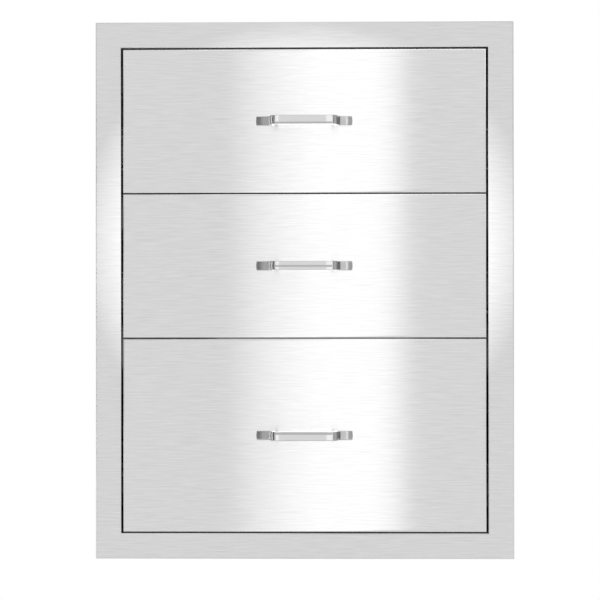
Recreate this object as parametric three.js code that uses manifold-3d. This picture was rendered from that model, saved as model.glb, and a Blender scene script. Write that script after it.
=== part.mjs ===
// Flush-mount drawer unit for an outdoor kitchen island: a folded stainless face frame and box, and
// three drawers that run on three-member telescopic ball slides.
// Millimetres, +Z up, +X to the right, the drawer fronts face -Y and pull out towards -Y.
// Origin: the middle of the island's cut-out, in the plane of the island's face, which is the plane
// that the back of the face frame's flange lies on.

import * as THREE from 'three';
import { mergeVertices } from 'three/addons/utils/BufferGeometryUtils.js';
import Module from 'manifold-3d';

const wasm = await Module();
wasm.setup();

// General
const seat = 0.3; // gap left between pieces that lie on each other
const overrun = 2; // how far a cutting tool runs past what it cuts
const foldSteps = 2; // facets in a fold of the sheet
const roundSides = 8; // facets round a hole or a screw

// Face frame
const frameWidth = 460;
const frameHeight = 590.4;
const railWidth = 28.3; // visible width of the rails and stiles
const frameSheet = 1.2;
const frameFold = 1.6; // outer radius of the frame's folds
const flangeDepth = 10; // front of the frame to the island's face
const hemWidth = 12; // fold of the frame that lies on the island's face
const jambReach = 22; // how far the jamb runs behind the island's face

// Box behind the frame
const boxSheet = 1;
const boxFold = 1.5;
const weldFlange = 13; // flange of a box panel behind the frame's face
const sideFlange = 12; // flange of the top and bottom panels along the side panels
const backReturn = 11; // folded edge of the back panel
const rearSpace = 14; // from the end of the slides to the back of the box
const fixingHole = 5; // hole for a screw into the island's framing
const fixingInset = 30; // fixing holes in from the ends of the side panel
const fixingSetback = 45; // first row of fixing holes behind the island's face
const fixingRows = 2;
const fixingsInRow = 3;

// Drawer fronts
const sideGap = 2;
const topGap = 1.8;
const betweenGap = 1.1;
const bottomGap = 1.3;
const shallowFront = 158.1; // height of the two upper fronts
const frontDepth = 18;
const frontSheet = 1;
const frontFold = 1.3;
const linerReturn = 10;

// Drawer trays
const traySheet = 0.9;
const trayFold = 2.4;
const trayLift = 14; // underside of the tray above the lower edge of its front
const trayDrop = 32; // rim of the tray below the upper edge of its front
const trayRim = 8;
const trayFlange = 12; // flange of the tray that is riveted to the front's liner
const trayBackReturn = 11;

// Slides
const slideLength = 500;
const slideTravel = 500; // full extension
const slideThickness = 12.7; // from the box panel to the tray
const slideHeight = 45;
const slideSetback = 3; // behind the end of the jamb
const slideRise = 36; // middle of the slide above the underside of the tray
const slideSheet = 1.2;
const slideFold = 1.8;
const raceLip = 3.9; // lip that keeps the balls in their race
const cabinetMemberWidth = 9.6;
const middleMemberOffset = 2.7; // web of the middle member from the box panel
const middleMemberWidth = 8.3;
const drawerMemberWidth = 7.3;
const slideHole = 4.6;
const slideHoleInset = 35;
const slideHoles = 3;
const ballDiameter = 4;
const ballPlay = 0.2;
const ballsInRow = 4;
const cageEndRoom = 15; // from a cage to the end of a member, at the end of the travel
const cageSheet = 0.5;
const cageFold = 0.8;
const cageClearance = 0.5; // between a cage and the web that it runs along
const cageTab = 5.4; // width of the arm that holds the balls
const ballInset = 1.7; // middle of the ball in from the end of the arm

// Handles
const handleLength = 106;
const handleHeight = 10;
const handleReach = 27; // front of the bar from the drawer front
const handleCrown = 0.6; // how far the faces bulge between their edges
const barThickness = 6.3;
const barEndInset = 28.25; // end of the straight bar, in from the end of the handle
const kneeDrop = 1.85; // how far the bar falls back from there to the knee
const kneeInset = 17.2; // where the bar and the riser meet
const innerKneeInset = 22.4;
const riserRootInset = 13.4; // where the riser meets the foot
const footBendInset = 5.5; // where the foot turns down to its tip
const postInset = 18.6; // inner end of the base
const footThickness = 5.2;
const footBendThickness = 3.7;
const footTipThickness = 2;
const kneeRadius = 7;
const kneeInnerRadius = 4;
const rootRadius = 5;
const tipRadius = 1.1;
const crownMiddleShare = 0.1; // flat middle of the crowned faces
const kneeSteps = 4;
const crownSteps = 2;
const screwInset = 15; // from the end of the handle
const screwDiameter = 4;
const screwHole = 4.6;
const screwGrip = 4; // how far the screw reaches into the foot
const screwHeadDiameter = 8;
const screwHeadHeight = 2.6;
const screwHeadEdgeShare = 0.45; // straight part of the head's height
const screwHeadTopShare = 0.55; // width of the head's flat top

// Places worked out from the sizes
const handleEnd = handleLength / 2;
const screwSpacing = handleLength - 2 * screwInset;
const openingHalfWidth = frameWidth / 2 - railWidth;
const openingHalfHeight = frameHeight / 2 - railWidth;
const frontFace = -flangeDepth;
const boxFront = frontFace + frameSheet + seat;
const slideFront = jambReach + slideSetback;
const slideRear = slideFront + slideLength;
const boxRear = slideRear + rearSpace;
const sideInner = openingHalfWidth + frameSheet + seat;
const lidInner = openingHalfHeight + frameSheet + seat;
const boxHalfHeight = lidInner + boxSheet;
const linerFace = frontFace + frontDepth;
const trayFront = linerFace + seat;
const frontHalfWidth = openingHalfWidth - sideGap;
const trayHalfWidth = sideInner - seat - slideThickness - seat;
const deepFront = 2 * openingHalfHeight - topGap - bottomGap - 2 * betweenGap - 2 * shallowFront;
const ballRadius = ballDiameter / 2;
const outerBallHeight = slideHeight / 2 - slideSheet - ballPlay - ballRadius;
const middleHalfHeight = outerBallHeight - ballRadius - ballPlay;
const innerBallHeight = middleHalfHeight - slideSheet - ballPlay - ballRadius;
const cageLength = slideLength - slideTravel / 2 - 2 * cageEndRoom;
const drawerHalfHeight = innerBallHeight - ballRadius - ballPlay;

const steel = (color, roughness) =>
  new THREE.MeshStandardMaterial({ color, roughness, metalness: 1, flatShading: true });
const materials = {
  brushed: steel(0xc9cacb, 0.32),
  box: steel(0xb9babb, 0.45),
  tray: steel(0xbfc0c1, 0.42),
  handle: steel(0xd6d6d8, 0.14),
  slide: steel(0xaeb2b4, 0.38),
  cage: steel(0x9c9a92, 0.4),
  screw: steel(0xa9abad, 0.3),
};

// Solids, joins and cuts

function solid(geometry) {
  geometry.deleteAttribute('normal');
  geometry.deleteAttribute('uv');
  const merged = mergeVertices(geometry);
  const mesh = new wasm.Mesh({
    numProp: 3,
    vertProperties: new Float32Array(merged.attributes.position.array),
    triVerts: new Uint32Array(merged.index.array),
  });
  return new wasm.Manifold(mesh);
}

function geometryOf(manifold) {
  const mesh = manifold.getMesh();
  const geometry = new THREE.BufferGeometry();
  geometry.setAttribute('position', new THREE.BufferAttribute(mesh.vertProperties, 3));
  geometry.setIndex(new THREE.BufferAttribute(mesh.triVerts, 1));
  return geometry;
}

function block(low, high) {
  const size = high.map((value, axis) => value - low[axis]);
  const middle = high.map((value, axis) => (value + low[axis]) / 2);
  return solid(new THREE.BoxGeometry(...size).translate(...middle));
}

function rodAlongX(diameter, x0, x1, y, z) {
  const rod = new THREE.CylinderGeometry(diameter / 2, diameter / 2, x1 - x0, roundSides);
  rod.rotateZ(Math.PI / 2);
  return solid(rod.translate((x0 + x1) / 2, y, z));
}

function rodAlongY(diameter, y0, y1, x, z) {
  const rod = new THREE.CylinderGeometry(diameter / 2, diameter / 2, y1 - y0, roundSides);
  return solid(rod.translate(x, (y0 + y1) / 2, z));
}

// Outlines

// Points of a path whose inner corners are rounded by arcs that touch both neighbours.
function rounded(path, radii, steps, closed = false) {
  const points = [];
  path.forEach((corner, i) => {
    const last = path.length - 1;
    const radius = radii[i];
    if ((!closed && (i === 0 || i === last)) || radius === 0) {
      points.push(corner.clone());
      return;
    }
    const back = path[i === 0 ? last : i - 1].clone().sub(corner).normalize();
    const onward = path[i === last ? 0 : i + 1].clone().sub(corner).normalize();
    const half = Math.acos(THREE.MathUtils.clamp(back.dot(onward), -1, 1)) / 2;
    const middle = back.clone().add(onward).normalize().multiplyScalar(radius / Math.sin(half));
    const centre = corner.clone().add(middle);
    const touch = corner.clone().addScaledVector(back, radius / Math.tan(half));
    const turn = Math.sign(onward.cross(back)) * (Math.PI - 2 * half);
    for (let step = 0; step <= steps; step += 1) {
      points.push(touch.clone().rotateAround(centre, (turn * step) / steps));
    }
  });
  return points;
}

// A folded sheet seen on edge: the path runs along one face, and the other face lies to its left, or
// to its right if the sheet is negative. Returns both faces, rounded at each fold.
function folded(path, sheet, fold) {
  const thickness = Math.abs(sheet);
  const inside = Math.max(fold - thickness, 0);
  const corners = path.map(([x, y]) => new THREE.Vector2(x, y));
  const directions = corners.slice(1).map((corner, i) => corner.clone().sub(corners[i]).normalize());
  const normals = directions.map((direction) => new THREE.Vector2(-direction.y, direction.x));
  const nearRadii = [];
  const farRadii = [];
  const far = corners.map((corner, i) => {
    const before = normals[Math.max(i - 1, 0)];
    const after = normals[Math.min(i, normals.length - 1)];
    const outside = before.cross(after) * sheet > 0;
    nearRadii.push(outside ? fold : inside);
    farRadii.push(outside ? inside : fold);
    const mitre = before.clone().add(after).divideScalar(1 + before.dot(after));
    return corner.clone().addScaledVector(mitre, sheet);
  });
  return {
    near: rounded(corners, nearRadii, foldSteps),
    far: rounded(far, farRadii, foldSteps),
  };
}

function foldedOutline(path, sheet, fold) {
  const faces = folded(path, sheet, fold);
  return [...faces.near, ...faces.far.reverse()];
}

// An outline in (x, z) carried from y0 to y1
function alongY(outline, y0, y1) {
  const settings = { depth: y1 - y0, bevelEnabled: false };
  const geometry = new THREE.ExtrudeGeometry(new THREE.Shape(outline), settings);
  return geometry.rotateX(Math.PI / 2).translate(0, y1, 0);
}

// An outline in (x, y) carried from z0 to z1
function alongZ(outline, z0, z1) {
  const settings = { depth: z1 - z0, bevelEnabled: false };
  return new THREE.ExtrudeGeometry(new THREE.Shape(outline), settings).translate(0, 0, z0);
}

// Carries a section round a rectangle, with mitred corners. The section's points are (inset from the
// rectangle, y). A closed section makes a ring. An open one makes a pan: its two ends are filled.
function aroundRectangle(section, halfWidth, halfHeight, closed) {
  const corners = [[1, 1], [-1, 1], [-1, -1], [1, -1]];
  const count = corners.length;
  const positions = [];
  const index = [];
  section.forEach(({ x: inset, y }) => {
    corners.forEach(([sideX, sideZ]) => {
      positions.push(sideX * (halfWidth - inset), y, sideZ * (halfHeight - inset));
    });
  });
  section.forEach((point, i) => {
    if (!closed && i === section.length - 1) return;
    const here = count * i;
    const next = count * ((i + 1) % section.length);
    corners.forEach((corner, k) => {
      const l = (k + 1) % count;
      index.push(here + k, here + l, next + l, here + k, next + l, next + k);
    });
  });
  if (!closed) {
    const end = count * (section.length - 1);
    index.push(0, 3, 2, 0, 2, 1);
    index.push(end, end + 1, end + 2, end, end + 2, end + 3);
  }
  const geometry = new THREE.BufferGeometry();
  geometry.setAttribute('position', new THREE.Float32BufferAttribute(positions, 3));
  geometry.setIndex(index);
  return facingOut(geometry);
}

// Turns all faces over if they point into the body.
function facingOut(geometry) {
  const index = geometry.index.array;
  const [a, b, c] = [new THREE.Vector3(), new THREE.Vector3(), new THREE.Vector3()];
  let volume = 0;
  for (let i = 0; i < index.length; i += 3) {
    a.fromBufferAttribute(geometry.attributes.position, index[i]);
    b.fromBufferAttribute(geometry.attributes.position, index[i + 1]);
    c.fromBufferAttribute(geometry.attributes.position, index[i + 2]);
    volume += a.dot(b.cross(c));
  }
  if (volume < 0) index.reverse();
  return geometry;
}

// A sheet pan: its face at faceY, its four edges folded over as far as rimY.
function pan(halfWidth, halfHeight, faceY, rimY, sheet, fold) {
  const side = Math.sign(rimY - faceY);
  const path = [[2 * fold, faceY], [0, faceY], [0, rimY]];
  return aroundRectangle(foldedOutline(path, -side * sheet, fold), halfWidth, halfHeight, false);
}

// Places of a number of holes or balls, spread evenly between two ends
function spread(count, from, to) {
  return Array.from({ length: count }, (unused, i) => from + ((to - from) * i) / (count - 1));
}

// Cabinet

function faceFrame() {
  const path = [
    [hemWidth, 0],
    [0, 0],
    [0, frontFace],
    [railWidth, frontFace],
    [railWidth, jambReach],
  ];
  const section = foldedOutline(path, frameSheet, frameFold);
  return aroundRectangle(section, frameWidth / 2, frameHeight / 2, true);
}

// The right side panel. Turned half round about Y, it is the left one.
function sidePanel() {
  const path = [
    [sideInner, boxRear],
    [sideInner, boxFront],
    [sideInner + weldFlange, boxFront],
  ];
  const outline = foldedOutline(path, boxSheet, boxFold);
  let panel = solid(alongZ(outline, -boxHalfHeight, boxHalfHeight));
  const reach = boxHalfHeight - fixingInset;
  const [x0, x1] = [sideInner - overrun, sideInner + boxSheet + overrun];
  spread(fixingRows, fixingSetback, boxRear - fixingSetback).forEach((y) => {
    spread(fixingsInRow, -reach, reach).forEach((z) => {
      panel = panel.subtract(rodAlongX(fixingHole, x0, x1, y, z));
    });
  });
  return geometryOf(panel);
}

// The top panel. Turned half round about Y, it is the bottom one.
function lidPanel() {
  const halfWidth = sideInner - seat;
  const sheetTop = lidInner + boxSheet;
  const path = [
    [halfWidth, lidInner - sideFlange],
    [halfWidth, sheetTop],
    [-halfWidth, sheetTop],
    [-halfWidth, lidInner - sideFlange],
  ];
  const flanged = alongY(
    foldedOutline(path, boxSheet, boxFold), jambReach + seat, boxRear - backReturn - seat);
  const plateHalf = halfWidth - boxFold;
  const plate = block([-plateHalf, boxFront, lidInner], [plateHalf, boxRear, sheetTop]);
  const upstand = block(
    [-plateHalf, boxFront, lidInner],
    [plateHalf, boxFront + boxSheet, lidInner + weldFlange]);
  return geometryOf(solid(flanged).add(plate).add(upstand));
}

function backPanel() {
  const [halfWidth, halfHeight] = [sideInner - seat, lidInner - seat];
  return pan(halfWidth, halfHeight, boxRear, boxRear - backReturn, boxSheet, boxFold);
}

// Drawers: each geometry is made about the middle of the drawer's front

function handleScrewHoles(from, to) {
  return [-1, 1].map((side) => rodAlongY(screwHole, from, to, (side * screwSpacing) / 2, 0));
}

function cutAll(body, tools) {
  return tools.reduce((rest, tool) => rest.subtract(tool), body);
}

function frontSkin(height) {
  const skin = solid(pan(frontHalfWidth, height / 2, frontFace, linerFace, frontSheet, frontFold));
  const holes = handleScrewHoles(frontFace - overrun, frontFace + frontSheet + overrun);
  return geometryOf(cutAll(skin, holes));
}

function frontLiner(height) {
  const inset = frontSheet + seat;
  const liner = solid(pan(
    frontHalfWidth - inset, height / 2 - inset,
    linerFace, linerFace - linerReturn, frontSheet, frontFold));
  const holes = handleScrewHoles(linerFace - frontSheet - overrun, linerFace + overrun);
  return geometryOf(cutAll(liner, holes));
}

function tray(height) {
  const base = trayLift - height / 2;
  const rim = height / 2 - trayDrop;
  const wall = trayHalfWidth;
  const path = [
    [trayRim - wall, rim],
    [-wall, rim],
    [-wall, base],
    [wall, base],
    [wall, rim],
    [wall - trayRim, rim],
  ];
  const flangePath = [
    [-wall, rim - trayFold],
    [-wall, base],
    [wall, base],
    [wall, rim - trayFold],
  ];
  const walls = alongY(foldedOutline(path, traySheet, trayFold), trayFront, slideRear);
  const flange = alongY(
    foldedOutline(flangePath, trayFlange, trayFold), trayFront, trayFront + traySheet);
  return geometryOf(solid(walls).add(solid(flange)));
}

// Stands inside the tray's walls, in far enough to clear the rounded corners of its folds.
function trayBack(height) {
  const inset = traySheet + seat + (trayFold - traySheet) * (1 - Math.SQRT1_2);
  const base = trayLift - height / 2 + inset;
  const rim = height / 2 - trayDrop - inset;
  const back = pan(
    trayHalfWidth - inset, (rim - base) / 2,
    slideRear, slideRear - trayBackReturn, traySheet, trayFold);
  return back.translate(0, 0, (rim + base) / 2);
}

// The handle seen from above: its outline is drawn for one half and mirrored. The base is drawn past
// the drawer front by the crown and cut off flat there.
function handle() {
  const base = frontFace - seat;
  const half = [
    [handleEnd - barEndInset, base - handleReach, 0],
    [handleEnd - kneeInset, base - handleReach + kneeDrop, kneeRadius],
    [handleEnd - riserRootInset, base - footThickness, rootRadius],
    [handleEnd - footBendInset, base - footBendThickness, 0],
    [handleEnd, base - footTipThickness, tipRadius],
    [handleEnd, base + handleCrown, 0],
    [handleEnd - postInset, base + handleCrown, 0],
    [handleEnd - innerKneeInset, base - handleReach + barThickness, kneeInnerRadius],
  ];
  const mirrored = half.map(([x, y, radius]) => [-x, y, radius]).reverse();
  const corners = [...half, ...mirrored];
  const path = corners.map(([x, y]) => new THREE.Vector2(x, y));
  const outline = rounded(path, corners.map(([, , radius]) => radius), kneeSteps, true);
  const bar = new THREE.ExtrudeGeometry(new THREE.Shape(outline), {
    depth: handleHeight * crownMiddleShare,
    bevelThickness: (handleHeight * (1 - crownMiddleShare)) / 2,
    bevelSize: handleCrown,
    bevelOffset: -handleCrown,
    bevelSegments: crownSteps,
  });
  bar.translate(0, 0, (-handleHeight * crownMiddleShare) / 2);
  const spare = block(
    [-handleEnd - overrun, base, -handleHeight],
    [handleEnd + overrun, base + handleCrown + overrun, handleHeight]);
  const holes = handleScrewHoles(base - screwGrip - seat, base + overrun);
  return geometryOf(cutAll(solid(bar), [spare, ...holes]));
}

// A screw from inside the drawer, through liner and skin, into a foot of the handle
function handleScrew() {
  const headRadius = screwHeadDiameter / 2;
  const shankRadius = screwDiameter / 2;
  const head = linerFace + seat;
  const tip = frontFace - seat - screwGrip;
  const profile = [
    [0, tip],
    [shankRadius, tip],
    [shankRadius, head],
    [headRadius, head],
    [headRadius, head + screwHeadHeight * screwHeadEdgeShare],
    [headRadius * screwHeadTopShare, head + screwHeadHeight],
    [0, head + screwHeadHeight],
  ];
  const points = profile.map(([radius, y]) => new THREE.Vector2(radius, y));
  return new THREE.LatheGeometry(points, roundSides);
}

// Slides: sections in (distance from the box panel, z), for a slide on the left side panel, whose web
// faces +X. Turned half round about Y, it is the right one.

function slideMember(path) {
  return solid(alongY(foldedOutline(path, slideSheet, slideFold), slideFront, slideRear));
}

function withMountingHoles(member, web) {
  const places = spread(slideHoles, slideFront + slideHoleInset, slideRear - slideHoleInset);
  const [x0, x1] = [web - overrun, web + slideSheet + overrun];
  return cutAll(member, places.map((y) => rodAlongX(slideHole, x0, x1, y, 0)));
}

function lippedChannel(web, width, halfHeight) {
  const [open, lip] = [web + width, halfHeight - raceLip];
  return [
    [open, lip],
    [open, halfHeight],
    [web, halfHeight],
    [web, -halfHeight],
    [open, -halfHeight],
    [open, -lip],
  ];
}

function cabinetMember() {
  const path = lippedChannel(0, cabinetMemberWidth, slideHeight / 2);
  return geometryOf(withMountingHoles(slideMember(path), 0));
}

function middleMember() {
  return geometryOf(slideMember(lippedChannel(middleMemberOffset, middleMemberWidth, middleHalfHeight)));
}

function drawerMember() {
  const open = slideThickness - drawerMemberWidth;
  const path = [
    [open, -drawerHalfHeight],
    [slideThickness, -drawerHalfHeight],
    [slideThickness, drawerHalfHeight],
    [open, drawerHalfHeight],
  ];
  return geometryOf(withMountingHoles(slideMember(path), slideThickness - slideSheet));
}

// A cage: a strip along the web with an arm at each edge, and the balls that sit in the arms
function ballCage(web, ballHeight) {
  const halfHeight = ballHeight + cageSheet / 2;
  const tip = web + cageTab;
  const path = [
    [tip, halfHeight],
    [web, halfHeight],
    [web, -halfHeight],
    [tip, -halfHeight],
  ];
  const start = (slideFront + slideRear - cageLength) / 2;
  const strip = alongY(foldedOutline(path, cageSheet, cageFold), start, start + cageLength);
  let cage = solid(strip);
  spread(ballsInRow, start + ballDiameter, start + cageLength - ballDiameter).forEach((y) => {
    [-1, 1].forEach((side) => {
      const ball = new THREE.IcosahedronGeometry(ballRadius);
      cage = cage.add(solid(ball.translate(tip - ballInset, y, side * ballHeight)));
    });
  });
  return geometryOf(cage);
}

// Assembly

const unit = new THREE.Group();

function put(parent, name, geometry, material) {
  const mesh = new THREE.Mesh(geometry, material);
  mesh.name = name;
  parent.add(mesh);
  return mesh;
}

function putCabinet() {
  const [side, lid] = [sidePanel(), lidPanel()];
  put(unit, 'face_frame', faceFrame(), materials.brushed);
  put(unit, 'side_panel_right', side, materials.box);
  put(unit, 'side_panel_left', side, materials.box).rotation.y = Math.PI;
  put(unit, 'top_panel', lid, materials.box);
  put(unit, 'bottom_panel', lid, materials.box).rotation.y = Math.PI;
  put(unit, 'back_panel', backPanel(), materials.box);
}

const slidePieces = [
  ['cabinet_member', cabinetMember(), materials.slide],
  ['middle_member', middleMember(), materials.slide],
  ['drawer_member', drawerMember(), materials.slide],
  ['outer_cage', ballCage(slideSheet + cageClearance, outerBallHeight), materials.cage],
  ['inner_cage', ballCage(middleMemberOffset + slideSheet + cageClearance, innerBallHeight),
    materials.cage],
];

// One slide on the left side panel, one, turned round, on the right
function putSlides(drawer, height) {
  [['left', 0], ['right', Math.PI]].forEach(([side, turn]) => {
    const place = new THREE.Group();
    place.rotation.y = turn;
    place.position.set(Math.cos(turn) * (seat - sideInner), 0, height);
    slidePieces.forEach(([piece, geometry, material]) => {
      put(place, `${drawer}_${side}_slide_${piece}`, geometry, material);
    });
    unit.add(place);
  });
}

const handleShape = handle();
const screwShape = handleScrew();

function putDrawer(drawer, height, middle) {
  const place = new THREE.Group();
  place.position.z = middle;
  put(place, `${drawer}_drawer_front_skin`, frontSkin(height), materials.brushed);
  put(place, `${drawer}_drawer_front_liner`, frontLiner(height), materials.tray);
  put(place, `${drawer}_drawer_tray`, tray(height), materials.tray);
  put(place, `${drawer}_drawer_tray_back`, trayBack(height), materials.tray);
  put(place, `${drawer}_drawer_handle`, handleShape, materials.handle);
  [['left', -1], ['right', 1]].forEach(([side, sign]) => {
    const name = `${drawer}_drawer_handle_screw_${side}`;
    put(place, name, screwShape, materials.screw).position.x = (sign * screwSpacing) / 2;
  });
  unit.add(place);
  putSlides(drawer, middle - height / 2 + trayLift + slideRise);
}

putCabinet();
let upper = openingHalfHeight - topGap;
[['top', shallowFront], ['middle', shallowFront], ['bottom', deepFront]].forEach(([drawer, height]) => {
  putDrawer(drawer, height, upper - height / 2);
  upper -= height + betweenGap;
});

export default unit;
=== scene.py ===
# The looks of a flush-mount drawer unit for an outdoor kitchen: finer handles, rivets and spot welds,
# materials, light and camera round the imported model.
# Metres, in the model's own frame: +Z up, +X to the right, and the drawer fronts face -Y.

import math

import bpy
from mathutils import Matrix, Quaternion, Vector
from mathutils.geometry import tessellate_polygon


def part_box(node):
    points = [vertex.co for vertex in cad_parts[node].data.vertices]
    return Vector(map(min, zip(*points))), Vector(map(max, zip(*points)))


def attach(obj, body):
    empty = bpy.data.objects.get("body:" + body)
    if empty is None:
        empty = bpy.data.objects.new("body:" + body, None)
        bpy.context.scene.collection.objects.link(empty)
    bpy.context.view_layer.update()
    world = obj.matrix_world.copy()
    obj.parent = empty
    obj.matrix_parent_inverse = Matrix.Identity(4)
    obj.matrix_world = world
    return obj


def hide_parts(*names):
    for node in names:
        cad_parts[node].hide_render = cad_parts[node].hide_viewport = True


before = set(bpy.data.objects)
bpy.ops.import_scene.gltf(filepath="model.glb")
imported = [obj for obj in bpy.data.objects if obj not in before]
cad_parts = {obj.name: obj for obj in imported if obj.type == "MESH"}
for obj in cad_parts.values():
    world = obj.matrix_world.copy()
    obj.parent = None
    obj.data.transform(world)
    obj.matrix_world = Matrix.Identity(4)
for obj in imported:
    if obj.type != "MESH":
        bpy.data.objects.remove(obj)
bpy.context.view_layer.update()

mm = 0.001
drawers = ("top", "middle", "bottom")
sides = {"left": -1, "right": 1}

# Camera: the photograph is 600 pixels wide, and the face frame fills 418.7 of them.
photo_width = 600
frame_in_photo = 418.7
sensor_width = 36
camera_place = Vector((0.0752, -3.0, -0.025))
camera_aim = Vector((-0.0051, 0, -0.0107))
camera_roll = math.radians(-0.059)

# Handles, seen from above, outwards from the middle and forwards from the drawer front
bar_end = 24.75 * mm
knee_drop = 1.85 * mm
riser_top = 35.8 * mm
riser_inner_top = 30.6 * mm
riser_root = 39.6 * mm
foot_thickness = 5.2 * mm
foot_bend = 47.5 * mm
foot_bend_thickness = 3.7 * mm
foot_tip_thickness = 2 * mm
post_inner = 34.4 * mm
bar_thickness = 6.3 * mm
bar_end_radius = 40 * mm
knee_radius = 7 * mm
knee_inner_radius = 4 * mm
root_radius = 0.6 * mm
foot_radius = 40 * mm
tip_radius = 1.1 * mm
arc_steps = 12
crown_depth = 0.36 * mm
handle_edge = 0.7 * mm
crown_levels = 10
edge_levels = 5
sharp_limit = 0.5  # an inset corner moves by the inset divided by this, at most

# Heads of rivets, screws and spot welds. The recess and the ring are (share of the radius, share of the
# height), from the outside inwards.
rivet_radius = 3.6 * mm
rivet_height = 1.3 * mm
rivet_rim = 0.25
rivet_steps = 6
screw_radius = 4 * mm
screw_height = 1.7 * mm
screw_recess = [(0.42, 0.97), (0.36, 0.9), (0.3, 0.35)]
weld_radius = 2.6 * mm
weld_height = 0.12 * mm
weld_ring = [(0.86, 1), (0.62, 0.9), (0.4, 0.5)]
fastener_sides = 28
touch = 0.02 * mm  # how far a head is let into what it sits on

# Places of rivets, screws and spot welds
slide_sheet = 1.2 * mm
slide_hole_inset = 35 * mm
slide_holes = 3
tray_sheet = 0.9 * mm
tray_flange = 12 * mm
tray_margin = 2 * tray_flange
tray_top_margin = 1.5 * tray_flange
flange_rivets = 3
bottom_rivets = 5
back_flange = 11 * mm
back_margin = 1.5 * back_flange
back_rivets = 2
box_sheet = 1 * mm
weld_flange = 13 * mm
weld_inset = 6.5 * mm
weld_spacing = 70 * mm
weld_front_margin = 6 * weld_inset
weld_back_margin = 3 * weld_inset
weld_end_margin = 4 * weld_inset

# Colours
face_colour = (0.662, 0.662, 0.662)
box_colour = (0.56, 0.565, 0.57)
tray_colour = (0.6, 0.603, 0.607)
handle_colour = (0.45, 0.45, 0.452)
zinc_colour = (0.5, 0.525, 0.545)
cage_colour = (0.46, 0.445, 0.42)
screw_colour = (0.5, 0.5, 0.505)
white = (1, 1, 1, 1)
black = (0, 0, 0, 1)

# Brushing: the length and width of its broad streaks and of its fine lines, the share and the detail of
# each, and what they do to the roughness and the height of the surface
usual_streak = (30 * mm, 1.3 * mm)
usual_line = (9 * mm, 0.35 * mm)
face_streak = (27 * mm, 1.55 * mm)
face_line = (38 * mm, 0.85 * mm)
box_streak = (70 * mm, 2.4 * mm)
box_line = (40 * mm, 0.9 * mm)
streak_share = 0.62
line_share = 0.38
streak_detail = 2.0
line_detail = 1.0
grain_roughness = 0.12
grain_strength = 0.25
grain_depth = 0.01 * mm
facing_limit = 0.7  # a face counts as facing along an axis when its normal's part there is larger
off_axis = (1.0, 0.1, 0.02)  # near the X axis, and a little off the normals of the side faces

# Patches on sheet metal, haze on polished metal, and the roughness of floor and cards
noise_middle = 0.5
patch_scale = 14.0
patch_detail = 3.0
haze_scale = 60.0
haze_detail = 4.0
haze_shade = 0.05
haze_roughness = 0.06
matt = 0.9

# Edges: where smooth shading ends on the scene's own pieces and on the CAD nodes
piece_crease = math.radians(40)
node_crease = math.radians(48)
merge_distance = 0.001 * mm
normal_weight = 100

# Floor: a round one, its middle a little behind the object's front
floor_radius = 1.5
floor_middle = 0.3
floor_height = -0.55
floor_sides = 96

# Softboxes: where each stands, the point it faces, its width and height, and the light it adds to the
# white studio's own
area_power = 4  # a softbox's power for each square metre, when it adds a light of 1
fronts_lamps = {
    "left_edge_light": ((-0.91, -0.7, 0), (0, 0, 0), (1.1, 1.2), 1.0),
    "right_edge_light": ((0.93, -0.67, 0), (0, 0, 0), (1.1, 1.2), 0.7),
    "left_side_light": ((-0.914, -0.407, 0), (0, 0, 0), (0.62, 1.2), 0.6),
    "top_edge_light": ((0, -0.35, 1.1), (0, 0, 0), (1.0, 0.6), 0.8),
    "bottom_edge_light": ((0, -0.35, -1.1), (0, 0, 0), (1.0, 0.6), 0.8),
}
band_lamp = ((0.015, -0.4, 0), (0.015, 0, 0), (0.242, 1.6), 0.411)
glow_lamp = ((0.0013, -0.022, 0.054), (0.0013, 0, 0.054), (0.504, 0.49), 0.4)
frame_edge_lamp = ((-0.9, -0.45, 0), (0, 0, 0), (0.75, 1.2), 0.7)
back_lamp = ((0, 0.5, 0), (0, 1, 0), (0.26, 0.5), 0.3)
foot_lamp = ((0.475, -0.9, 0), (0.475, 0, 0), (0.22, 2), 0.6)
riser_lamp = ((-0.719, -0.695, 0), (0, 0, 0), (0.14, 1.2), 1.1)
knee_lamp = ((-1, -0.01, 0), (0, 0, 0), (0.16, 1.2), 1.7)
box_lamps = {
    "right_box_light": ((1.3, -0.6, 1.5), (0, 0.25, 0), (1.3, 1.3), 0.45),
    "left_box_light": ((-1.2, 1.7, 1.2), (0, 0.25, 0), (1.3, 1.3), 0.45),
}

# Softboxes for the handles, in an upper and a lower row: how far aside each pair stands, its width and
# the light it adds. The space between the rows is the dark line along the bars.
row_distance = 0.9
row_reach = 1.0
row_height = 0.575
row_lamps = {
    "bar_light": (-0.087, 0.474, 0.38),
    "left_light": (-0.37, 0.091, 0.72),
    "right_light": (0.256, 0.212, 0.72),
}

# The small softbox between each handle and its drawer front
fill_size = (0.07, 0.04)
fill_strength = 1.4
fill_lift = 0.1 * mm

# Fades: (share of the width, share of the strength) across the band light. The glow light and the foot
# light fade from these shares of their width, measured from the middle, to the rim.
band_stops = [
    (0.033, 0.1), (0.157, 0.463), (0.28, 0.715), (0.465, 1.0),
    (0.765, 1.0), (0.835, 0.83), (0.897, 0.47), (0.95, 0.08),
]
lamp_middle = (0.5, 0.5, 0.0)
lamp_rim = 0.5
glow_fade = 0.4
foot_fade = 0.1

# Cards for the handles to reflect: (angle from the front, shade) along each
card_bottom = -0.5
card_top = 0.75
card_radius = 1.1
card_steps = 12
left_card = [
    (-24.5, 0.85), (-26.5, 0.75), (-38, 0.4), (-49, 0.4),
    (-50, 0.04), (-83, 0.04), (-84, 0.9), (-88, 0.9),
]
right_card = [
    (26, 1.0), (31, 0.95), (35.5, 0.76), (38, 0.95), (41, 0.9),
    (43, 0.6), (46, 0.5), (54, 0.5), (57, 0.95), (85, 0.75),
]


# Meshes

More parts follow.
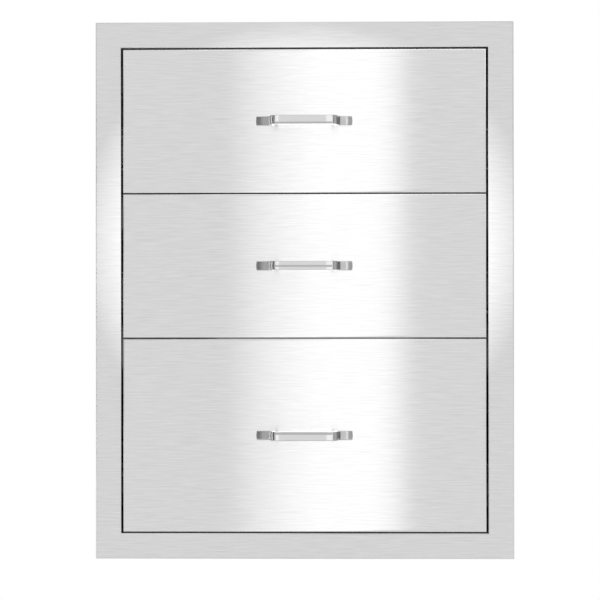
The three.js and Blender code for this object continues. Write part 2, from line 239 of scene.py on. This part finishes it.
def new_object(name, data):
    made = bpy.data.objects.new(name, data)
    bpy.context.scene.collection.objects.link(made)
    return made


def make_piece(name, vertices, faces, body, material):
    mesh = bpy.data.meshes.new(name)
    mesh.from_pydata(vertices, [], faces)
    mesh.polygons.foreach_set("use_smooth", [True] * len(mesh.polygons))
    mesh.set_sharp_from_angle(angle=piece_crease)
    mesh.materials.append(material)
    piece = new_object(name, mesh)
    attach(piece, body)
    return piece


def weight_normals(piece):
    """Lets the large faces shade as flat as they are, and leaves the bends to the small ones."""
    weighted = piece.modifiers.new("weighted_normals", "WEIGHTED_NORMAL")
    weighted.keep_sharp = True
    weighted.weight = normal_weight


def spread(count, start, end):
    """Evenly spaced numbers, both ends among them."""
    return [start + (end - start) * i / (count - 1) for i in range(count)]


def skin_rings(rings):
    """Faces between closed rings of equal length, numbered one after the other."""
    faces = []
    count = len(rings[0])
    for level in range(len(rings) - 1):
        here = level * count
        above = here + count
        for i in range(count):
            onward = (i + 1) % count
            faces.append((here + i, here + onward, above + onward, above + i))
    return faces


def rounded(path, radii, steps):
    """The closed path of (x, y) points, its corners rounded by arcs that touch both neighbours."""
    points = []
    for i, corner in enumerate(path):
        if radii[i] == 0:
            points.append(Vector(corner))
            continue
        here = Vector(corner)
        back = (Vector(path[i - 1]) - here).normalized()
        onward = (Vector(path[(i + 1) % len(path)]) - here).normalized()
        half = back.angle(onward) / 2
        centre = here + (back + onward).normalized() * (radii[i] / math.sin(half))
        start = here + back * (radii[i] / math.tan(half)) - centre
        turn = math.copysign(math.pi - 2 * half, onward.x * back.y - onward.y * back.x)
        for step in range(steps + 1):
            angle = turn * step / steps
            cos = math.cos(angle)
            sin = math.sin(angle)
            points.append(centre + Vector((start.x * cos - start.y * sin, start.x * sin + start.y * cos)))
    return points


# Materials

def new_material(name):
    """A new material with nodes, and its shader."""
    material = bpy.data.materials.new(name)
    material.use_nodes = True
    return material, material.node_tree.nodes["Principled BSDF"]


def add(tree, kind, inputs=None, **settings):
    """A new node: a socket among its inputs is linked, and a value is set."""
    made = tree.nodes.new(kind)
    for name, value in settings.items():
        setattr(made, name, value)
    for socket, value in (inputs or {}).items():
        if isinstance(value, bpy.types.NodeSocket):
            tree.links.new(value, made.inputs[socket])
        else:
            made.inputs[socket].default_value = value
    return made


def math_node(tree, operation, first, second=0.0):
    return add(tree, "ShaderNodeMath", {0: first, 1: second}, operation=operation).outputs[0]


def scale_and_add(tree, value, factor, base):
    return math_node(tree, "ADD", math_node(tree, "MULTIPLY", value, factor), base)


def choose(tree, factor, low, high):
    """The low value where the factor is 0, and the high one where it is 1."""
    mix = add(tree, "ShaderNodeMix", {0: factor, 2: low, 3: high}, data_type="FLOAT")
    return mix.outputs[0]


def faces_along(tree, part):
    """1 where this part of the normal is large, whichever its sign, and 0 elsewhere."""
    return math_node(tree, "GREATER_THAN", math_node(tree, "ABSOLUTE", part), facing_limit)


def grain_axes(tree, along_depth):
    """(along the brushing, across it, a vector across it), by the way the surface faces."""
    place = add(tree, "ShaderNodeTexCoord").outputs["Object"]
    x, y, z = add(tree, "ShaderNodeSeparateXYZ", {0: place}).outputs
    normal = add(tree, "ShaderNodeNewGeometry").outputs["True Normal"]
    facing = add(tree, "ShaderNodeSeparateXYZ", {0: normal}).outputs
    up_on = faces_along(tree, facing[2])
    if along_depth:
        along = choose(tree, faces_along(tree, facing[1]), y, x)
        across = choose(tree, up_on, z, x)
    else:
        along = choose(tree, faces_along(tree, facing[0]), x, y)
        across = choose(tree, up_on, z, y)
    tangent = add(tree, "ShaderNodeVectorMath", {0: normal, 1: off_axis}, operation="CROSS_PRODUCT")
    return along, across, tangent.outputs[0]


def streaks(tree, along, across, size, detail):
    """Noise drawn out along the brushing, from 0 to 1."""
    length, width = size
    u = math_node(tree, "DIVIDE", along, length)
    v = math_node(tree, "DIVIDE", across, width)
    place = add(tree, "ShaderNodeCombineXYZ", {0: u, 1: v}).outputs[0]
    return add(tree, "ShaderNodeTexNoise", {"Vector": place, "Scale": 1.0, "Detail": detail}).outputs[0]


def patches(tree, scale, detail):
    """Soft noise around zero."""
    place = add(tree, "ShaderNodeTexCoord").outputs["Object"]
    noise = add(tree, "ShaderNodeTexNoise", {"Vector": place, "Scale": scale, "Detail": detail})
    return math_node(tree, "SUBTRACT", noise.outputs[0], noise_middle)


def vary_metal(tree, shader, colour, roughness, level, contrast, roughness_change):
    """Metal whose colour and roughness follow a level around zero."""
    shade = scale_and_add(tree, level, contrast, 1.0)
    shaded = add(tree, "ShaderNodeVectorMath", {0: colour, 3: shade}, operation="SCALE").outputs[0]
    tree.links.new(shaded, shader.inputs["Base Color"])
    tree.links.new(scale_and_add(tree, level, roughness_change, roughness), shader.inputs["Roughness"])
    shader.inputs["Metallic"].default_value = 1.0


def brushed_metal(name, colour, contrast, roughness, anisotropy, streak=usual_streak, line=usual_line,
                  along_depth=False, cloud=0.0):
    """Brushed sheet metal, with patches where a cloud is given."""
    material, shader = new_material(name)
    tree = material.node_tree
    along, across, tangent = grain_axes(tree, along_depth)
    broad = streaks(tree, along, across, streak, streak_detail)
    fine = streaks(tree, along, across, line, line_detail)
    broad_part = math_node(tree, "MULTIPLY", broad, streak_share)
    fine_part = math_node(tree, "MULTIPLY", fine, line_share)
    both = math_node(tree, "ADD", broad_part, fine_part)
    level = math_node(tree, "SUBTRACT", both, noise_middle)
    if cloud:
        patchy = math_node(tree, "MULTIPLY", patches(tree, patch_scale, patch_detail), cloud)
        level = math_node(tree, "ADD", level, patchy)
    vary_metal(tree, shader, colour, roughness, level, contrast, grain_roughness)
    grain = {"Strength": grain_strength, "Distance": grain_depth, "Height": fine}
    bump = add(tree, "ShaderNodeBump", grain)
    tree.links.new(bump.outputs[0], shader.inputs["Normal"])
    tree.links.new(tangent, shader.inputs["Tangent"])
    shader.inputs["Anisotropic"].default_value = anisotropy
    return material


def polished_metal(name, colour, roughness):
    """Plated or turned metal with a faint haze."""
    material, shader = new_material(name)
    tree = material.node_tree
    haze = patches(tree, haze_scale, haze_detail)
    vary_metal(tree, shader, colour, roughness, haze, haze_shade, haze_roughness)
    return material


face_steel = brushed_metal("brushed_face_steel", face_colour, contrast=0.32, roughness=0.2,
                           anisotropy=0.97, streak=face_streak, line=face_line)
box_steel = brushed_metal("satin_box_steel", box_colour, contrast=0.3, roughness=0.38, anisotropy=0.5,
                          streak=box_streak, line=box_line, along_depth=True, cloud=0.5)
tray_steel = brushed_metal("satin_tray_steel", tray_colour, contrast=0.1, roughness=0.36,
                           anisotropy=0.6, along_depth=True, cloud=0.3)
handle_chrome = polished_metal("polished_handle", handle_colour, roughness=0.06)
slide_zinc = brushed_metal("zinc_plate", zinc_colour, contrast=0.16, roughness=0.36,
                           anisotropy=0.3, along_depth=True, cloud=0.9)
cage_steel = brushed_metal("cage_strip", cage_colour, contrast=0.14, roughness=0.4,
                           anisotropy=0.2, along_depth=True, cloud=0.6)
screw_steel = polished_metal("turned_stainless", screw_colour, roughness=0.28)

slot_materials = {
    "face_steel": face_steel,
    "box_steel": box_steel,
    "tray_steel": tray_steel,
    "handle_chrome": handle_chrome,
    "slide_zinc": slide_zinc,
    "cage_steel": cage_steel,
    "screw_steel": screw_steel,
}


# The CAD nodes: their own slots' materials, and folds that shade smoothly

def smoothing_nodes():
    """Joins the facets at their edges and shades folds and round faces smoothly."""
    tree = bpy.data.node_groups.new("smooth_folds", "GeometryNodeTree")
    tree.interface.new_socket("Geometry", in_out="INPUT", socket_type="NodeSocketGeometry")
    tree.interface.new_socket("Geometry", in_out="OUTPUT", socket_type="NodeSocketGeometry")
    start = tree.nodes.new("NodeGroupInput")
    plain = add(tree, "GeometryNodeRemoveAttribute", {0: start.outputs[0], "Name": "custom_normal"})
    merged = add(tree, "GeometryNodeMergeByDistance", {0: plain.outputs[0], "Distance": merge_distance})
    angle = tree.nodes.new("GeometryNodeInputMeshEdgeAngle")
    crease = add(tree, "FunctionNodeCompare", {0: angle.outputs[0], 1: node_crease}, operation="LESS_THAN")
    faces = add(tree, "GeometryNodeSetShadeSmooth",
                {0: merged.outputs[0], "Shade Smooth": True}, domain="FACE")
    edges = add(tree, "GeometryNodeSetShadeSmooth",
                {0: faces.outputs[0], "Shade Smooth": crease.outputs[0]}, domain="EDGE")
    end = tree.nodes.new("NodeGroupOutput")
    tree.links.new(edges.outputs[0], end.inputs[0])
    return tree


def dress_cad_nodes():
    smoothing = smoothing_nodes()
    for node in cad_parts.values():
        for held in node.material_slots:
            held.material = slot_materials[held.material.name]
        smooth = node.modifiers.new("smooth_folds", "NODES")
        smooth.node_group = smoothing
        weight_normals(node)


dress_cad_nodes()


# Handles

def handle_outline(half_length, reach):
    """The handle seen from above, as (outwards, forwards) points."""
    half = [
        (bar_end, -reach, bar_end_radius),
        (riser_top, knee_drop - reach, knee_radius),
        (riser_root, -foot_thickness, root_radius),
        (foot_bend, -foot_bend_thickness, foot_radius),
        (half_length, -foot_tip_thickness, tip_radius),
        (half_length, 0, 0),
        (post_inner, 0, 0),
        (riser_inner_top, bar_thickness - reach, knee_inner_radius),
    ]
    mirrored = [(-x, y, radius) for x, y, radius in reversed(half)]
    path = [(x, y) for x, y, radius in half + mirrored]
    radii = [radius for x, y, radius in half + mirrored]
    return rounded(path, radii, arc_steps)


def crown_profile(half_height):
    """(height, inset) from the lower edge of a face to its upper edge: a shallow crown between two
    rounded edges."""
    flat = half_height - handle_edge
    crown = [flat * (2 * i / crown_levels - 1) for i in range(crown_levels + 1)]
    levels = [(z, crown_depth * (z / flat) ** 2) for z in crown]
    edge = []
    for i in range(1, edge_levels + 1):
        angle = math.pi / 2 * i / edge_levels
        height = flat + handle_edge * math.sin(angle)
        edge.append((height, crown_depth + handle_edge * (1 - math.cos(angle))))
    lower = [(-z, inset) for z, inset in reversed(edge)]
    return lower + levels + edge


def inset_outline(outline, inset):
    """The outline moved inwards by the inset. Its base stays on the drawer front."""
    moved = []
    for i, point in enumerate(outline):
        back = (point - outline[i - 1]).normalized()
        onward = (outline[(i + 1) % len(outline)] - point).normalized()
        way = (back + onward).normalized()
        inward = Vector((-way.y, way.x))
        shifted = point + inward * (inset / max(way.dot(onward), sharp_limit))
        if point.y == 0:
            shifted.y = 0
        moved.append(shifted)
    return moved


def handle_mesh(low, high):
    """Vertices and faces of a handle that fills the box between these corners."""
    middle = (low + high) / 2
    outline = handle_outline(high.x - middle.x, high.y - low.y)
    rings = []
    for height, inset in crown_profile(middle.z - low.z):
        around = inset_outline(outline, inset)
        rings.append([(middle.x + x, high.y + y, middle.z + height) for x, y in around])
    faces = skin_rings(rings)
    last = len(outline) * (len(rings) - 1)
    for a, b, c in tessellate_polygon([[(x, y, 0) for x, y in outline]]):
        faces.append((a, c, b))
        faces.append((last + a, last + b, last + c))
    return [point for ring in rings for point in ring], faces


def make_handle(drawer):
    node = f"{drawer}_drawer_handle"
    low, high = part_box(node)
    vertices, faces = handle_mesh(low, high)
    piece = make_piece(f"{drawer}_drawer_pull", vertices, faces,
                       f"{drawer}_drawer", handle_chrome)
    weight_normals(piece)
    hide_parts(node)
    return piece


handles = [make_handle(drawer) for drawer in drawers]


# Rivets, screws and spot welds

def rivet_profile(radius, height):
    """(radius, height) points of a low domed head."""
    dome = [(radius, -touch), (radius, height * rivet_rim)]
    for i in range(1, rivet_steps):
        angle = math.pi / 2 * i / rivet_steps
        rise = rivet_rim + (1 - rivet_rim) * math.sin(angle)
        dome.append((radius * math.cos(angle), height * rise))
    return dome


def scale_shares(radius, height, shares):
    return [(radius * across, height * up) for across, up in shares]


def screw_profile(radius, height):
    """A pan head with a round recess for the driver."""
    return rivet_profile(radius, height)[:-1] + scale_shares(radius, height, screw_recess)


def weld_profile(radius, height):
    """The shallow ring that a spot weld leaves."""
    return [(radius, -touch)] + scale_shares(radius, height, weld_ring)


def head_rings(profile, point, facing):
    """The rings of a round head at a point."""
    turn = Vector(facing).to_track_quat("Z", "Y")
    rings = []
    for radius, height in profile:
        ring = []
        for i in range(fastener_sides):
            angle = 2 * math.pi * i / fastener_sides
            ring.append(Vector((radius * math.cos(angle), radius * math.sin(angle), height)))
        rings.append([Vector(point) + turn @ corner for corner in ring])
    return rings


def make_fasteners(name, profile, places, body, material):
    """One piece of several round heads: places are (point, direction that the head faces)."""
    vertices = []
    faces = []
    for point, facing in places:
        rings = head_rings(profile, point, facing)
        first = len(vertices)
        last = first + fastener_sides * (len(rings) - 1)
        faces += [tuple(first + i for i in face) for face in skin_rings(rings)]
        faces.append(tuple(range(last, last + fastener_sides)))
        faces.append(tuple(reversed(range(first, first + fastener_sides))))
        vertices += [corner for ring in rings for corner in ring]
    make_piece(name, vertices, faces, body, material)


def inside(low, high, sign, distance):
    """The x that lies this far inside the left or the right end of a box."""
    return high.x - distance if sign > 0 else low.x + distance


def fasten_slides(drawer):
    """Screws that hold the cabinet members, and rivets that hold the drawer members to the tray."""
    screws = []
    rivets = []
    for side, sign in sides.items():
        low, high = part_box(f"{drawer}_{side}_slide_cabinet_member")
        web = inside(low, high, sign, slide_sheet)
        tray_low, tray_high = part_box(f"{drawer}_drawer_tray")
        tray_wall = inside(tray_low, tray_high, sign, tray_sheet)
        height = (low.z + high.z) / 2
        for y in spread(slide_holes, low.y + slide_hole_inset, high.y - slide_hole_inset):
            screws.append(((web, y, height), (-sign, 0, 0)))
            rivets.append(((tray_wall, y, height), (-sign, 0, 0)))
    make_fasteners(f"{drawer}_slide_screws", screw_profile(screw_radius, screw_height),
                   screws, "cabinet", screw_steel)
    return rivets


def fasten_tray(drawer, rivets):
    """Rivets from the tray's flange into the front's liner, and through the tray's back."""
    low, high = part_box(f"{drawer}_drawer_tray")
    flange_face = low.y + tray_sheet
    back_low, back_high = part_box(f"{drawer}_drawer_tray_back")
    back_row = back_low.y + back_flange / 2
    for sign in sides.values():
        edge = inside(low, high, sign, tray_flange / 2)
        for z in spread(flange_rivets, low.z + tray_margin, high.z - tray_top_margin):
            rivets.append(((edge, flange_face, z), (0, 1, 0)))
        inner = inside(back_low, back_high, sign, tray_sheet)
        for z in spread(back_rivets, back_low.z + back_margin, back_high.z - back_margin):
            rivets.append(((inner, back_row, z), (-sign, 0, 0)))
    for x in spread(bottom_rivets, low.x + tray_margin, high.x - tray_margin):
        rivets.append(((x, flange_face, low.z + tray_flange / 2), (0, 1, 0)))
        rivets.append(((x, back_row, back_low.z + tray_sheet), (0, 0, 1)))
    make_fasteners(f"{drawer}_tray_rivets", rivet_profile(rivet_radius, rivet_height),
                   rivets, f"{drawer}_drawer", screw_steel)


def weld_box():
    """Spot welds down the edges of the side panels, where they meet the top, bottom and back panels."""
    welds = []
    for side, sign in sides.items():
        low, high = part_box(f"side_panel_{side}")
        wall = inside(low, high, sign, weld_flange - box_sheet)
        back = high.y
        count = round((back - weld_front_margin) / weld_spacing)
        for y in spread(count, weld_front_margin, back - weld_back_margin):
            for z in (low.z + weld_inset, high.z - weld_inset):
                welds.append(((wall, y, z), (sign, 0, 0)))
        for z in spread(count, low.z + weld_end_margin, high.z - weld_end_margin):
            welds.append(((wall, back - weld_inset, z), (sign, 0, 0)))
    make_fasteners("box_spot_welds", weld_profile(weld_radius, weld_height),
                   welds, "cabinet", box_steel)


for drawer in drawers:
    fasten_tray(drawer, fasten_slides(drawer))
weld_box()


# Floor, background and light

def make_floor():
    rim = []
    for turn in spread(floor_sides + 1, 0, 2 * math.pi)[:-1]:
        y = floor_middle + floor_radius * math.sin(turn)
        rim.append((floor_radius * math.cos(turn), y, floor_height))
    mesh = bpy.data.meshes.new("floor")
    mesh.from_pydata(rim, [], [tuple(range(len(rim)))])
    material, shader = new_material("pale_floor")
    shader.inputs["Base Color"].default_value = white
    shader.inputs["Roughness"].default_value = matt
    shader.inputs["Specular IOR Level"].default_value = 0.0
    mesh.materials.append(material)
    floor = new_object("floor", mesh)


def make_world():
    world = bpy.data.worlds.new("white_studio")
    bpy.context.scene.world = world
    world.use_nodes = True
    back = world.node_tree.nodes["Background"]
    back.inputs["Color"].default_value = white
    back.inputs["Strength"].default_value = 1.0


def make_lamp(name, lamp, receivers, fade=None):
    """A softbox that the camera doesn't see, for the receivers only."""
    place, aim, size, strength = lamp
    light = bpy.data.lights.new(name, "AREA")
    light.shape = "RECTANGLE"
    light.size, light.size_y = size
    light.energy = strength * area_power * size[0] * size[1]
    if fade:
        light.use_nodes = True
        tree = light.node_tree
        tree.links.new(fade(tree), tree.nodes["Emission"].inputs["Strength"])
    holder = new_object(name, light)
    holder.location = place
    holder.rotation_mode = "QUATERNION"
    holder.rotation_quaternion = (Vector(aim) - Vector(place)).to_track_quat("-Z", "Y")
    holder.visible_camera = False
    group = bpy.data.collections.new(name + "_receivers")
    for receiver in receivers:
        group.objects.link(receiver)
    holder.light_linking.receiver_collection = group
    holder.light_linking.blocker_collection = group


def lamp_place(tree):
    """The place on a lamp, from 0 to 1 across its width and across its height."""
    return add(tree, "ShaderNodeNewGeometry").outputs["Parametric"]


def across_lamp(tree):
    return add(tree, "ShaderNodeSeparateXYZ", {0: lamp_place(tree)}).outputs[0]


def fade_out(tree, away, start):
    """Full strength up to the start, and none at the rim."""
    ends = {0: away, 1: lamp_rim, 2: start, 3: 0.0, 4: 1.0}
    return add(tree, "ShaderNodeMapRange", ends).outputs[0]


def band_fade(tree):
    """A ramp on the left, full strength in the middle, and a short ramp on the right."""
    ramp = add(tree, "ShaderNodeValToRGB", {0: across_lamp(tree)})
    for end in ramp.color_ramp.elements:
        end.color = black
    for place, share in band_stops:
        ramp.color_ramp.elements.new(place).color = (share, share, share, 1)
    return ramp.outputs[0]


def disc_fade(tree):
    """Full strength in the middle of a round softbox, and a soft rim."""
    away = add(tree, "ShaderNodeVectorMath", {0: lamp_place(tree), 1: lamp_middle}, operation="DISTANCE")
    return fade_out(tree, away.outputs["Value"], glow_fade)


def side_fade(tree):
    """Full strength in the middle, and long ramps to the left and to the right."""
    aside = math_node(tree, "SUBTRACT", across_lamp(tree), lamp_middle[0])
    return fade_out(tree, math_node(tree, "ABSOLUTE", aside), foot_fade)


def card_mesh(name, stops):
    """An upright sheet bent round the object. Its stops are (angle from the front, shade)."""
    turns = []
    shades = []
    for (turn, shade), (next_turn, next_shade) in zip(stops, stops[1:]):
        turns += spread(card_steps, turn, next_turn)
        shades += spread(card_steps, shade, next_shade)
    vertices = []
    for turn in turns:
        angle = math.radians(turn)
        foot = (card_radius * math.sin(angle), -card_radius * math.cos(angle))
        vertices += [(*foot, card_bottom), (*foot, card_top)]
    faces = [(2 * i, 2 * i + 2, 2 * i + 3, 2 * i + 1) for i in range(len(turns) - 1)]
    mesh = bpy.data.meshes.new(name)
    mesh.from_pydata(vertices, [], faces)
    held = mesh.attributes.new("shade", "FLOAT", "POINT")
    for i, shade in enumerate(shades):
        held.data[2 * i].value = shade
        held.data[2 * i + 1].value = shade
    return mesh


def make_card(name, stops):
    """A shaded card that only reflections show."""
    mesh = card_mesh(name, stops)
    material, shader = new_material(name)
    tree = material.node_tree
    shade = add(tree, "ShaderNodeAttribute", attribute_name="shade")
    tree.links.new(shade.outputs["Color"], shader.inputs["Base Color"])
    shader.inputs["Roughness"].default_value = matt
    mesh.materials.append(material)
    card = new_object(name, mesh)
    card.visible_camera = False
    card.visible_diffuse = False
    card.visible_shadow = False


def light_handles():
    """Two rows of softboxes for all handles, a small one between each handle and its drawer front, and
    cards for their sides to reflect."""
    for row, way in (("upper", 1), ("lower", -1)):
        height = way * row_height
        for name, (aside, width, strength) in row_lamps.items():
            lamp = ((aside, -row_distance, height), (aside, 0, height), (width, row_reach), strength)
            make_lamp(f"{row}_{name}", lamp, handles)
    for handle in handles:
        corners = [handle.matrix_world @ Vector(corner) for corner in handle.bound_box]
        base = max(corner.y for corner in corners) + fill_lift
        middle = sum(corner.z for corner in corners) / len(corners)
        lamp = ((0, base, middle), (0, -1, middle), fill_size, fill_strength)
        make_lamp(f"{handle.name}_fill_light", lamp, [handle])
    make_lamp("foot_light", foot_lamp, handles, side_fade)
    make_lamp("riser_light", riser_lamp, handles)
    make_lamp("knee_light", knee_lamp, handles)
    make_card("left_card", left_card)
    make_card("right_card", right_card)


def light_steel():
    """Softboxes for the drawer fronts, the face frame, and everything behind them."""
    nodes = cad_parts
    fronts = [nodes[f"{drawer}_drawer_front_skin"] for drawer in drawers]
    face = [nodes["face_frame"]]
    behind = [node for name, node in nodes.items() if node not in fronts + face and "handle" not in name]
    make_lamp("band_light", band_lamp, fronts, band_fade)
    make_lamp("glow_light", glow_lamp, face, disc_fade)
    make_lamp("frame_edge_light", frame_edge_lamp, face)
    make_lamp("back_light", back_lamp, [nodes["back_panel"]])
    for name, lamp in fronts_lamps.items():
        make_lamp(name, lamp, fronts)
    for name, lamp in box_lamps.items():
        make_lamp(name, lamp, behind)


make_floor()
make_world()
light_steel()
light_handles()


# Camera

def make_camera():
    low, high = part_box("face_frame")
    camera = bpy.data.cameras.new("camera")
    camera.sensor_width = sensor_width
    share = frame_in_photo / photo_width
    camera.lens = sensor_width * share * (low.y - camera_place.y) / (high.x - low.x)
    holder = new_object("camera", camera)
    holder.location = camera_place
    holder.rotation_mode = "QUATERNION"
    level = (camera_aim - camera_place).to_track_quat("-Z", "Y")
    holder.rotation_quaternion = level @ Quaternion((0, 0, 1), camera_roll)
    bpy.context.scene.camera = holder


make_camera()
bpy.context.scene.view_settings.view_transform = "Standard"
